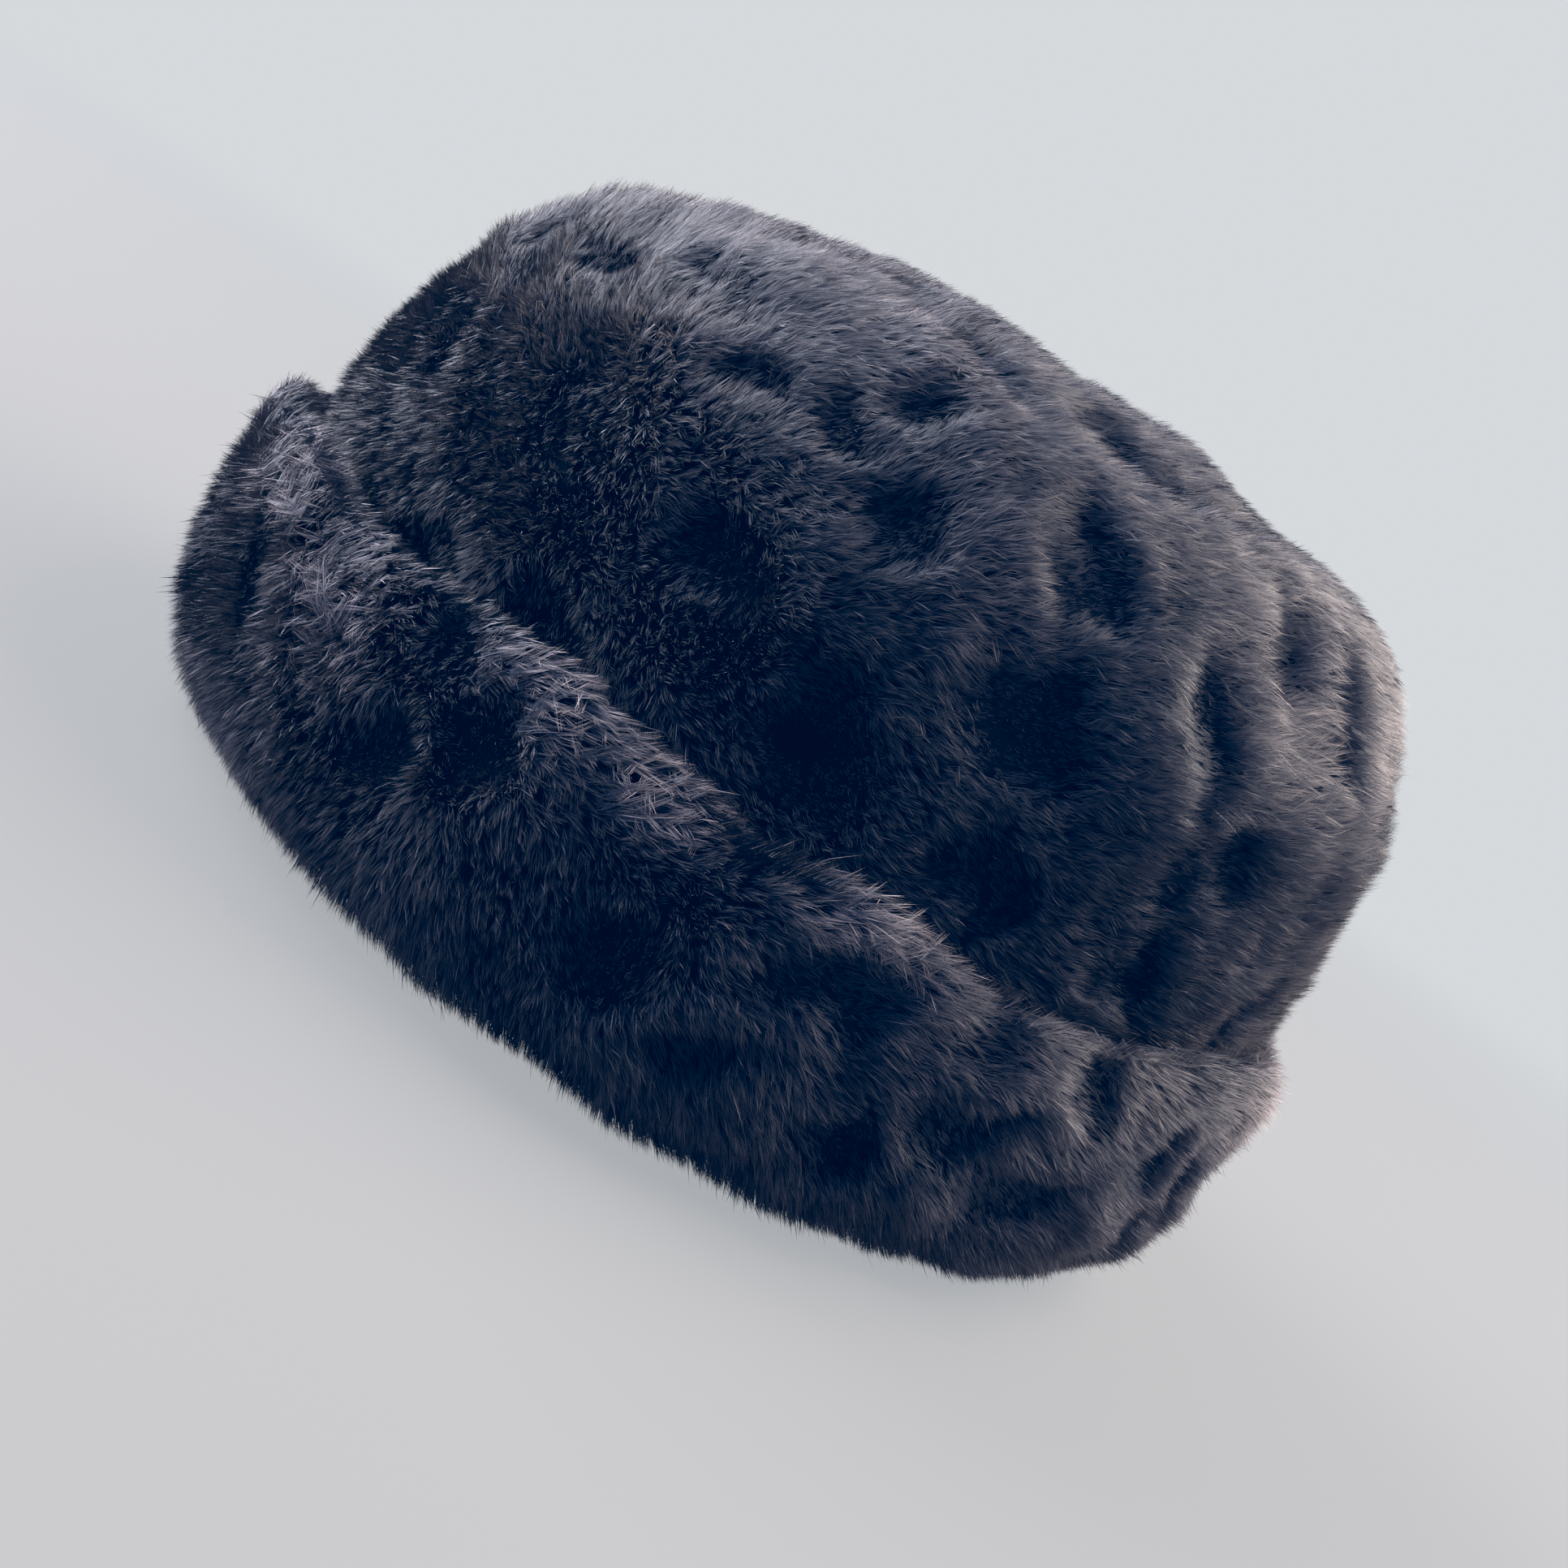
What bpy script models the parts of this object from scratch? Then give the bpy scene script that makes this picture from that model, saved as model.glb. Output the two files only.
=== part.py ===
"""A tall round-topped hat of sculpted faux fur with a wide turned-up cuff.

Front is -Y, the wearer's left is +X, up is +Z. The hat stands on its lower fold at Z = 0.
Angles run round the hat in degrees: 0 front, 90 the wearer's left, 180 back, 270 the wearer's right.
The surfaces are where the tips of the pile lie; backing and pile are one soft wall.
"""

import math

import bpy
import numpy as np

MM = 0.001

# Main sizes, in millimetres
WALL = 9.0            # backing and pile of the crown together
CROWN_FOOT = 3.0      # the crown's lower edge stays this far above the fold of the cuff
GAP = 0.5             # air between the crown and the cuff where they touch
GAP_AT_EDGE = 4.0     # the cuff stands off the crown by this much at its top edge
LOCK_DEPTH = 1.5      # how deep the partings between neighbouring locks of pile are
LOCK_FADE = 60.0      # the partings fade out within this distance of the crown's middle

# Facets
STEPS_ROUND = 104
CROWN_ROWS = 30
INSIDE_ROWS = 6
CUFF_ROWS = 14

# Outside of the crown, from its foot to the middle of its top
CROWN_SECTIONS = [
    # height, half length, half width, shift to the back
    (3.0, 107.0, 92.0, 0.0),
    (20.0, 116.5, 103.5, 0.0),
    (40.0, 125.5, 113.0, 0.5),
    (60.0, 131.0, 119.0, 1.0),
    (80.0, 133.5, 121.5, 1.5),
    (98.0, 132.0, 120.0, 3.0),
    (116.5, 128.0, 116.5, 4.5),
    (134.5, 118.0, 107.5, 6.0),
    (148.5, 104.0, 95.0, 7.5),
    (160.0, 84.0, 77.5, 8.5),
    (167.5, 59.0, 54.0, 9.0),
    (171.0, 34.0, 31.0, 9.0),
    (172.0, 0.0, 0.0, 9.0),
]

# Outside of the cuff, from the flat it stands on to its top edge
CUFF_SECTIONS = [
    # share of the cuff's height, half length, half width
    (0.00, 119.0, 107.0),
    (0.03, 126.0, 114.0),
    (0.10, 133.5, 121.5),
    (0.25, 140.5, 128.5),
    (0.45, 144.5, 132.5),
    (0.65, 145.0, 133.0),
    (0.82, 144.0, 132.0),
    (0.93, 142.5, 130.5),
    (0.98, 141.0, 129.0),
    (1.00, 139.0, 127.0),
]
CUFF_FLAT = 7.5       # width of the flat that the fold stands on

# Height of the cuff round the hat
CUFF_HEIGHTS = [
    # angle, height
    (0.0, 71.0),
    (30.0, 73.0),
    (58.0, 76.0),
    (71.0, 70.5),
    (85.0, 73.0),
    (99.0, 71.5),
    (115.0, 71.5),
    (133.0, 67.5),
    (147.0, 69.5),
    (163.0, 74.0),
    (181.0, 69.0),
    (205.0, 73.0),
    (232.0, 69.5),
    (258.0, 73.0),
    (285.0, 70.0),
    (318.0, 73.5),
]

# Hollows where the pile is pressed short, on the crown
CROWN_HOLLOWS = [
    # angle, share of the way up, length, width, turn, depth
    (52.5, 0.41, 22.0, 13.0, 124.0, 5.0),
    (55.5, 0.53, 13.0, 12.0, 0.0, 4.0),
    (66.0, 0.58, 15.0, 12.0, 124.0, 4.0),
    (83.5, 0.515, 12.0, 11.0, 0.0, 3.5),
    (74.0, 0.395, 13.0, 13.0, 0.0, 2.5),
    (93.5, 0.525, 15.0, 10.0, -11.0, 3.0),
    (96.5, 0.595, 17.0, 11.0, 34.0, 4.5),
    (71.0, 0.755, 14.0, 11.0, 34.0, 4.0),
    (97.0, 0.685, 26.0, 8.0, -30.0, 3.0),
    (121.0, 0.715, 25.0, 13.0, -20.0, 6.0),
    (145.0, 0.71, 20.0, 9.0, -20.0, 5.0),
    (119.5, 0.55, 26.0, 15.0, 124.0, 5.5),
    (103.5, 0.485, 23.0, 14.0, 34.0, 5.0),
    (93.5, 0.39, 18.0, 17.0, 0.0, 5.0),
    (70.5, 0.265, 16.0, 13.0, 0.0, 4.0),
    (84.5, 0.285, 17.0, 13.0, 0.0, 4.0),
    (109.5, 0.325, 29.0, 22.0, 124.0, 6.5),
    (121.0, 0.415, 26.0, 22.0, -11.0, 5.5),
    (138.5, 0.48, 24.0, 17.0, 110.0, 6.5),
    (148.0, 0.585, 26.0, 9.0, 95.0, 4.8),
    (158.5, 0.555, 32.0, 8.0, 100.0, 5.5),
    (172.5, 0.505, 16.0, 13.0, 34.0, 5.0),
    (144.0, 0.395, 26.0, 15.0, 34.0, 5.5),
    (126.5, 0.315, 18.0, 17.0, 0.0, 5.0),
    (146.0, 0.30, 17.0, 14.0, 34.0, 4.5),
    (165.0, 0.30, 19.0, 13.0, 34.0, 5.5),
]

# The same on the flat of the top, which the repeats round the hat do not reach
TOP_HOLLOWS = [
    # angle, share of the way up, length, width, turn, depth
    (20.0, 0.86, 18.0, 14.0, 0.0, 4.0),
    (100.0, 0.88, 20.0, 14.0, 30.0, 4.0),
    (190.0, 0.87, 18.0, 15.0, 60.0, 4.5),
    (285.0, 0.88, 22.0, 14.0, 0.0, 4.0),
    (60.0, 0.975, 17.0, 14.0, 20.0, 3.5),
]

# The same on the cuff, whose way up runs from its fold to its top edge
CUFF_HOLLOWS = [
    # angle, share of the way up, length, width, turn, depth
    (48.5, 0.56, 21.0, 10.0, 124.0, 4.5),
    (59.0, 0.68, 26.0, 10.0, 124.0, 4.0),
    (82.5, 0.89, 15.0, 13.0, 34.0, 4.0),
    (89.5, 0.78, 18.0, 16.0, 0.0, 5.5),
    (82.0, 0.56, 18.0, 15.0, 34.0, 4.5),
    (105.5, 0.54, 22.0, 17.0, 0.0, 5.5),
    (115.0, 0.45, 16.0, 13.0, 34.0, 4.5),
    (112.5, 0.95, 22.0, 13.0, -8.0, 3.2),
    (121.0, 0.78, 28.0, 14.0, 20.0, 5.0),
    (134.0, 0.91, 16.0, 15.0, 0.0, 4.0),
    (145.5, 0.86, 17.0, 13.0, 124.0, 4.5),
    (136.5, 0.64, 20.0, 11.0, 34.0, 4.0),
    (128.0, 0.45, 17.0, 16.0, 0.0, 5.0),
    (144.5, 0.50, 24.0, 14.0, 10.0, 5.0),
    (160.0, 0.66, 18.0, 12.0, 79.0, 4.5),
    (165.0, 0.46, 12.0, 11.0, 0.0, 3.0),
]

# Pillows that stand out over the rest of the crown
CROWN_SWELLS = [
    # angle, share of the way up, length, width, turn, height
    (168.0, 0.60, 60.0, 46.0, 90.0, 5.0),
    (172.0, 0.48, 50.0, 40.0, 90.0, 3.0),
    (150.0, 0.66, 34.0, 26.0, 60.0, 1.5),
    (70.0, 0.62, 32.0, 22.0, 20.0, 3.0),
    (36.0, 0.55, 50.0, 40.0, 0.0, 2.5),
    (215.0, 0.55, 60.0, 50.0, 0.0, 3.0),
    (290.0, 0.55, 60.0, 50.0, 0.0, 2.5),
]


def all_round(table):
    """The pattern of one third of the hat, repeated on the other two with small changes."""
    middle_angle = (table[0][0] + table[-1][0]) / 2
    rows = list(table)
    for angle, share, length, width, turn, depth in table:
        rows.append((angle + 122.0, share + 0.012, length, width, turn, depth))
        mirrored = 2 * middle_angle - angle + 241.0
        rows.append((mirrored, share - 0.01, length, width, -turn, depth))
    return rows


def curve(table, share, column):
    """One column of a table as a smooth curve over the table's length, 0 to 1."""
    rows = np.array(table, float)
    steps = np.linalg.norm(np.diff(rows[:, :2], axis=0), axis=1)
    along = np.concatenate([[0.0], np.cumsum(steps)])
    return smooth(along / along[-1], rows[:, column], share)


def smooth(x, y, at):
    """Values at points between given ones, without overshoot."""
    h = np.diff(x)
    d = np.diff(y) / h
    m = np.zeros(len(x))
    m[0], m[-1] = d[0], d[-1]
    for i in range(1, len(x) - 1):
        if d[i - 1] * d[i] > 0:
            w1 = 2 * h[i] + h[i - 1]
            w2 = h[i] + 2 * h[i - 1]
            m[i] = (w1 + w2) / (w1 / d[i - 1] + w2 / d[i])
    at = np.asarray(at, float)
    k = np.clip(np.searchsorted(x, at, side="right") - 1, 0, len(h) - 1)
    s = (at - x[k]) / h[k]
    a = y[k] * (1 + 2 * s) * (1 - s) ** 2 + y[k + 1] * s * s * (3 - 2 * s)
    b = h[k] * (m[k] * s * (1 - s) ** 2 + m[k + 1] * s * s * (s - 1))
    return a + b


def oval(angle, half_length, half_width, back, height):
    """Points on an oval ring; angle 0 is the front."""
    a = np.radians(angle)
    x = half_width * np.sin(a)
    y = -half_length * np.cos(a) + back
    return np.stack([x, y, height + 0 * a], -1)


def crown_base(angle, share):
    """The crown's outside before its hollows, share 0 at the foot and 1 at the middle."""
    height = curve(CROWN_SECTIONS, share, 0)
    half_length = curve(CROWN_SECTIONS, share, 1)
    half_width = curve(CROWN_SECTIONS, share, 2)
    back = curve(CROWN_SECTIONS, share, 3)
    return oval(angle, half_length, half_width, back, height)


def share_at_height(height):
    """How far up the crown's outside a height below its widest ring lies."""
    shares = np.linspace(0, 0.6, 241)
    return np.interp(height, curve(CROWN_SECTIONS, shares, 0), shares)


def cuff_height(angle):
    """Height of the cuff's top edge at an angle."""
    rows = np.array(CUFF_HEIGHTS, float)
    x = np.concatenate([rows[:, 0] - 360, rows[:, 0], rows[:, 0] + 360])
    y = np.concatenate([rows[:, 1]] * 3)
    return smooth(x, y, np.mod(angle, 360.0))


def cuff_base(angle, share):
    """The cuff's outside before its hollows, share 0 at the fold and 1 at the top edge."""
    rise = curve([(r[0] * 78, r[1]) for r in CUFF_SECTIONS], share, 0) / 78
    pairs = [(r[0] * 78, r[1], r[2]) for r in CUFF_SECTIONS]
    half_length = curve(pairs, share, 1)
    half_width = curve(pairs, share, 2)
    return oval(angle, half_length, half_width, 0.0, rise * cuff_height(angle))


def frame_at(base, angle, share):
    """Directions round, up and out of a surface at one or many places."""
    e = 1e-3
    low, high = np.clip(share - e, 0, 1), np.clip(share + e, 0, 1)
    round_ = base(angle + 0.1, share) - base(angle - 0.1, share)
    up = base(angle, high) - base(angle, low)
    round_ /= np.maximum(np.linalg.norm(round_, axis=-1, keepdims=True), 1e-9)
    up /= np.maximum(np.linalg.norm(up, axis=-1, keepdims=True), 1e-9)
    out = np.cross(round_, up)
    out /= np.maximum(np.linalg.norm(out, axis=-1, keepdims=True), 1e-9)
    return round_, up, out


def hollow_depth(points, base, hollows):
    """How deep the hollows are at points of a surface."""
    depth = np.zeros(points.shape[:-1])
    for angle, share, length, width, turn, deep in hollows:
        centre = base(np.array(angle), np.array(share))
        round_, up, out = frame_at(base, np.array(angle), np.array(share))
        c, s = math.cos(math.radians(turn)), math.sin(math.radians(turn))
        d = points - centre
        a = (d @ (round_ * c + up * s)) / (length / 2)
        b = (d @ (up * c - round_ * s)) / (width / 2)
        o = (d @ out) / 30.0
        one = deep * np.exp(-0.9 * (a * a + b * b) ** 1.6 - o ** 4)
        depth = np.maximum(depth, one)
    return depth


def lock_depth(rows, steps):
    """Partings between locks that stand in rows, each row half a lock further round."""
    j, i = np.meshgrid(np.arange(rows), np.arange(steps), indexing="ij")
    return LOCK_DEPTH * ((i + j) % 2)


def ring_faces(rows, steps, closed):
    """Four-sided faces between neighbouring rings of vertices."""
    faces = []
    for j in range(rows if closed else rows - 1):
        k = (j + 1) % rows
        for i in range(steps):
            n = (i + 1) % steps
            faces.append((j * steps + i, j * steps + n, k * steps + n, k * steps + i))
    return faces


def crown_shell():
    """Vertices and faces of the crown, a hollow dome open at the bottom."""
    angles = np.arange(STEPS_ROUND) * 360.0 / STEPS_ROUND
    shares = np.linspace(0, 1, CROWN_ROWS + 1)[:-1]
    t, s = np.meshgrid(angles, shares)
    outside = crown_base(t, s)
    out = frame_at(crown_base, t, s)[2]
    depth = hollow_depth(outside, crown_base, all_round(CROWN_HOLLOWS) + TOP_HOLLOWS)
    depth = depth - hollow_depth(outside, crown_base, CROWN_SWELLS)
    radius = np.linalg.norm(outside[..., :2], axis=-1)
    fade = np.clip(radius / LOCK_FADE - 0.4, 0, 1)
    depth = depth + lock_depth(*t.shape) * fade * np.clip(s / 0.08, 0, 1)
    outside = outside - out * depth[..., None]

    shares = np.linspace(0, 1, INSIDE_ROWS + 1)[:-1] ** 0.9
    t, s = np.meshgrid(angles, shares)
    inside = crown_base(t, s) - frame_at(crown_base, t, s)[2] * WALL
    inside[0, :, 2] = CROWN_FOOT

    peak = crown_base(np.array(0.0), np.array(1.0))
    rings = np.concatenate([inside[::-1], outside])
    rows = len(rings)
    faces = ring_faces(rows, STEPS_ROUND, False)
    points = np.concatenate([rings.reshape(-1, 3), [peak, peak - [0, 0, WALL]]])
    last = (rows - 1) * STEPS_ROUND
    for i in range(STEPS_ROUND):
        n = (i + 1) % STEPS_ROUND
        faces.append((last + i, last + n, len(points) - 2))
        faces.append((n, i, len(points) - 1))
    return points, faces


def cuff_band():
    """Vertices and faces of the cuff, a ring that is closed all round its section."""
    angles = np.arange(STEPS_ROUND) * 360.0 / STEPS_ROUND
    shares = np.linspace(0, 1, CUFF_ROWS)
    t, s = np.meshgrid(angles, shares)
    outside = cuff_base(t, s)
    out = frame_at(cuff_base, t, s)[2]
    depth = hollow_depth(outside, cuff_base, all_round(CUFF_HOLLOWS))
    depth = depth + lock_depth(*t.shape) * np.clip(s / 0.1, 0, 1)
    outside = outside - out * depth[..., None]
    outside[0, :, 2] = 0.0

    # the inner side follows the crown, and leaves it towards the top edge
    rises = [0.97, 0.88, 0.70, 0.48, 0.24]
    inside = []
    for rise in rises:
        height = np.maximum(rise * cuff_height(angles), CROWN_FOOT + 2)
        share = share_at_height(height)
        on = crown_base(angles, share)
        away = frame_at(crown_base, angles, share)[2] * [1, 1, 0]
        away /= np.linalg.norm(away, axis=-1, keepdims=True)
        inside.append(on + away * (GAP + (GAP_AT_EDGE - GAP) * rise ** 4))
    foot = crown_base(angles, 0 * angles)
    away = foot * [1, 1, 0]
    away /= np.linalg.norm(away, axis=-1, keepdims=True)
    inside.append(foot + away * GAP)
    flat = oval(angles, CUFF_SECTIONS[0][1] - CUFF_FLAT, CUFF_SECTIONS[0][2] - CUFF_FLAT, 0.0, 0.0)
    inside.append(flat)

    rings = np.concatenate([outside, np.array(inside)])
    return rings.reshape(-1, 3), ring_faces(len(rings), STEPS_ROUND, True)


def fur(name, colour):
    """A dull material for dark pile."""
    material = bpy.data.materials.new(name)
    material.use_nodes = True
    shader = material.node_tree.nodes["Principled BSDF"]
    shader.inputs["Base Color"].default_value = (*colour, 1.0)
    shader.inputs["Roughness"].default_value = 0.92
    shader.inputs["Metallic"].default_value = 0.0
    return material


def add_object(name, points, faces, material):
    """A smooth-shaded mesh object made from points in metres."""
    mesh = bpy.data.meshes.new(name)
    mesh.from_pydata([tuple(p) for p in points], [], faces)
    mesh.update()
    mesh.materials.append(material)
    for face in mesh.polygons:
        face.use_smooth = True
    made = bpy.data.objects.new(name, mesh)
    bpy.context.scene.collection.objects.link(made)
    return made


for old in list(bpy.data.objects):
    bpy.data.objects.remove(old)

crown_points, crown_faces = crown_shell()
cuff_points, cuff_faces = cuff_band()

# The origin lies under the middle of the hat
everything = np.concatenate([crown_points, cuff_points])
middle = (everything.min(axis=0) + everything.max(axis=0)) / 2
middle[2] = everything[:, 2].min()

add_object("crown", (crown_points - middle) * MM, crown_faces, fur("crown fur", (0.017, 0.0135, 0.0125)))
add_object("cuff", (cuff_points - middle) * MM, cuff_faces, fur("cuff fur", (0.019, 0.015, 0.0145)))
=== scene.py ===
# %% [markdown]
# # A tall hat of sculpted faux fur
# The hat is two pieces of soft faux fur: a puffy round crown, hollow for the head, and a wide cuff
# that is turned up all the way round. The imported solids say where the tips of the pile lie. This
# lesson dresses them: each solid is replaced by a cloth backing with short dense underfur, and by
# many thousands of single tapered hairs that grow out of it. Hairs are thin ribbons made from
# arrays, because one to three triangles are enough for a hair that is a pixel or two wide, and plain
# meshes keep their shape in any other program.

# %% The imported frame
import math

import bpy
import numpy as np
from mathutils import Matrix, Vector


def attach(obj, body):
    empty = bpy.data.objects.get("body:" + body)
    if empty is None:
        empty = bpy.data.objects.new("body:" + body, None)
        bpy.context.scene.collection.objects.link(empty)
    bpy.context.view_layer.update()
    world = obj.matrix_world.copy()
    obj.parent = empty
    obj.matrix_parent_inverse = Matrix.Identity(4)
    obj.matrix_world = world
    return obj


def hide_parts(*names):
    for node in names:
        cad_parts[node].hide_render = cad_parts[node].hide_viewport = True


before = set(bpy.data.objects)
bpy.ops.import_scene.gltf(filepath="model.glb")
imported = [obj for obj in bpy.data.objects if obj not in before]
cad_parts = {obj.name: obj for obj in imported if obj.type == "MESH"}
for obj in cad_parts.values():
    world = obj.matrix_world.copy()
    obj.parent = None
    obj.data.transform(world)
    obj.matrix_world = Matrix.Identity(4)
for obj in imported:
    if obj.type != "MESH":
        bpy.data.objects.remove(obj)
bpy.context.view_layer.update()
bpy.ops.object.select_all(action="DESELECT")
MM = 0.001

# %% [markdown]
# ## The shape of the pile
# The surface of the tips could be taken from the solids, but their facets are 8 mm wide and a hollow
# pressed into the pile is only two or three facets across. So the same named sections and hollows
# are written out again here, and the hairs follow them to a millimetre. Angles run round the hat: 0
# is the front, 90 the wearer's left, 180 the back. Lengths are in millimetres until a mesh is made.

# %% Sections of crown and cuff
WALL = 9.0  # backing and pile of the crown together
CROWN_FOOT = 3.0  # height of the crown's lower edge
GAP = 0.5  # between crown and cuff where they touch
GAP_AT_EDGE = 4.0  # between them at the cuff's top edge
CROWN_SECTIONS = [
    # height, half length, half width, shift to the back
    (3.0, 107.0, 92.0, 0.0),
    (20.0, 116.5, 103.5, 0.0),
    (40.0, 125.5, 113.0, 0.5),
    (60.0, 131.0, 119.0, 1.0),
    (80.0, 133.5, 121.5, 1.5),
    (98.0, 132.0, 120.0, 3.0),
    (116.5, 128.0, 116.5, 4.5),
    (134.5, 118.0, 107.5, 6.0),
    (148.5, 104.0, 95.0, 7.5),
    (160.0, 84.0, 77.5, 8.5),
    (167.5, 59.0, 54.0, 9.0),
    (171.0, 34.0, 31.0, 9.0),
    (172.0, 0.0, 0.0, 9.0),
]
CUFF_TOP = 78.0
CUFF_SECTIONS = [
    # height, out of CUFF_TOP at the top edge, half length, half width
    (0.00, 119.0, 107.0),
    (2.34, 126.0, 114.0),
    (7.80, 133.5, 121.5),
    (19.5, 140.5, 128.5),
    (35.1, 144.5, 132.5),
    (50.7, 145.0, 133.0),
    (63.96, 144.0, 132.0),
    (72.54, 142.5, 130.5),
    (76.44, 141.0, 129.0),
    (78.0, 139.0, 127.0),
]
CUFF_HEIGHTS = [
    # pairs of angle and height of the top edge
    (0, 71.0), (30, 73.0), (58, 76.0), (71, 70.5), (85, 73.0), (99, 71.5),
    (115, 71.5), (133, 67.5), (147, 69.5), (163, 74.0), (181, 69.0), (205, 73.0),
    (232, 69.5), (258, 73.0), (285, 70.0), (318, 73.5),
]

# %% [markdown]
# The pile is sculpted: a pattern of oval hollows is pressed into it, and soft swells stand out
# between them. In a few places the hairs are ruffled, so that they lie every way, and their tips are
# painted pale there: partly what ruffled pile shows, partly a painted highlight where the light
# catches the fur. All three are written as ovals that lie on the wall. The hollows and the ruffled
# places are charted on one third of the hat, and the rest repeats them, once turned, once mirrored.

# %% Hollows pressed into the pile
CROWN_HOLLOWS = [
    # angle, share of the way up, length, width, turn, depth
    (52.5, 0.41, 22, 13, 124, 5.0),
    (55.5, 0.53, 13, 12, 0, 4.0),
    (66, 0.58, 15, 12, 124, 4.0),
    (83.5, 0.515, 12, 11, 0, 3.5),
    (74, 0.395, 13, 13, 0, 2.5),
    (93.5, 0.525, 15, 10, -11, 3.0),
    (96.5, 0.595, 17, 11, 34, 4.5),
    (71, 0.755, 14, 11, 34, 4.0),
    (97, 0.685, 26, 8, -30, 3.0),
    (121, 0.715, 25, 13, -20, 6.0),
    (145, 0.71, 20, 9, -20, 5.0),
    (119.5, 0.55, 26, 15, 124, 5.5),
    (103.5, 0.485, 23, 14, 34, 5.0),
    (93.5, 0.39, 18, 17, 0, 5.0),
    (70.5, 0.265, 16, 13, 0, 4.0),
    (84.5, 0.285, 17, 13, 0, 4.0),
    (109.5, 0.325, 29, 22, 124, 6.5),
    (121, 0.415, 26, 22, -11, 5.5),
    (138.5, 0.48, 24, 17, 110, 6.5),
    (148, 0.585, 26, 9, 95, 4.8),
    (158.5, 0.555, 32, 8, 100, 5.5),
    (172.5, 0.505, 16, 13, 34, 5.0),
    (144, 0.395, 26, 15, 34, 5.5),
    (126.5, 0.315, 18, 17, 0, 5.0),
    (146, 0.30, 17, 14, 34, 4.5),
    (165, 0.30, 19, 13, 34, 5.5),
]
TOP_HOLLOWS = [
    # the same columns, on the flat of the top, which the repeats don't reach
    (20, 0.86, 18, 14, 0, 4.0),
    (100, 0.88, 20, 14, 30, 4.0),
    (190, 0.87, 18, 15, 60, 4.5),
    (285, 0.88, 22, 14, 0, 4.0),
    (60, 0.975, 17, 14, 20, 3.5),
]
CUFF_HOLLOWS = [
    # the same columns, share 0 at the cuff's fold and 1 at its top edge
    (48.5, 0.56, 21, 10, 124, 4.5),
    (59, 0.68, 26, 10, 124, 4.0),
    (82.5, 0.89, 15, 13, 34, 4.0),
    (89.5, 0.78, 18, 16, 0, 5.5),
    (82, 0.56, 18, 15, 34, 4.5),
    (105.5, 0.54, 22, 17, 0, 5.5),
    (115, 0.45, 16, 13, 34, 4.5),
    (112.5, 0.95, 22, 13, -8, 3.2),
    (121, 0.78, 28, 14, 20, 5.0),
    (134, 0.91, 16, 15, 0, 4.0),
    (145.5, 0.86, 17, 13, 124, 4.5),
    (136.5, 0.64, 20, 11, 34, 4.0),
    (128, 0.45, 17, 16, 0, 5.0),
    (144.5, 0.50, 24, 14, 10, 5.0),
    (160, 0.66, 18, 12, 79, 4.5),
    (165, 0.46, 12, 11, 0, 3.0),
]

# %% Ruffled places, partly painted highlights
CROWN_RUFFLES_AND_HIGHLIGHTS = [
    # angle, share of the way up, length, width, turn, how ruffled and painted with highlight
    (75, 0.50, 30, 18, 30, 0.5),
    (113, 0.50, 34, 14, -34, 0.4),
    (92, 0.66, 40, 16, -20, 0.4),
    (156, 0.56, 66, 48, 0, 0.50),
]
CUFF_RUFFLES_AND_HIGHLIGHTS = [
    # the same columns
    (57, 0.86, 34, 22, 0, 1.4),
    (71, 0.74, 38, 28, -35, 1.4),
    (92, 0.94, 32, 18, -8, 0.85),
    (103, 0.91, 26, 18, -8, 0.9),
    (121.5, 0.93, 30, 16, -8, 0.75),
    (151, 0.86, 26, 17, 0, 0.25),
]

# %% Swells, and the pattern all round
CROWN_SWELLS = [
    # angle, share of the way up, length, width, turn, height
    (168, 0.60, 60, 46, 90, 5.0),
    (172, 0.48, 50, 40, 90, 3.0),
    (150, 0.66, 34, 26, 60, 1.5),
    (70, 0.62, 32, 22, 20, 3.0),
    (36, 0.55, 50, 40, 0, 2.5),
    (215, 0.55, 60, 50, 0, 3.0),
    (290, 0.55, 60, 50, 0, 2.5),
]
TURNED_BY, TURNED_RISE = 122.0, 0.012
MIRRORED_BY, MIRRORED_RISE = 241.0, -0.01


def all_round(table, kept=1.0):
    """The pattern of one third of the hat, repeated on the other two with small changes."""
    middle_angle = (table[0][0] + table[-1][0]) / 2
    rows = list(table)
    for angle, share, length, width, turn, depth in table:
        rows.append((angle + TURNED_BY, share + TURNED_RISE, length, width, turn, kept * depth))
        mirrored = 2 * middle_angle - angle + MIRRORED_BY
        rows.append((mirrored, share + MIRRORED_RISE, length, width, -turn, kept * depth))
    return rows


print("hollows", len(all_round(CROWN_HOLLOWS)) + len(TOP_HOLLOWS), "on the crown",
      len(all_round(CUFF_HOLLOWS)), "on the cuff")

# %% [markdown]
# The sections are joined by smooth curves that never overshoot, so a puffy wall stays puffy. A
# hollow is a soft oval pit measured along the wall, and where two meet the deeper one wins.


# %% Curves through the sections
def smooth(x, y, at):
    """Values at points between given ones, without overshoot."""
    h = np.diff(x)
    d = np.diff(y) / h
    m = np.zeros(len(x))
    m[0], m[-1] = d[0], d[-1]
    for i in range(1, len(x) - 1):
        if d[i - 1] * d[i] > 0:
            w1, w2 = 2 * h[i] + h[i - 1], h[i] + 2 * h[i - 1]
            m[i] = (w1 + w2) / (w1 / d[i - 1] + w2 / d[i])
    at = np.asarray(at, float)
    k = np.clip(np.searchsorted(x, at, side="right") - 1, 0, len(h) - 1)
    s = (at - x[k]) / h[k]
    a = y[k] * (1 + 2 * s) * (1 - s) ** 2 + y[k + 1] * s * s * (3 - 2 * s)
    return a + h[k] * (m[k] * s * (1 - s) ** 2 + m[k + 1] * s * s * (s - 1))


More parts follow.
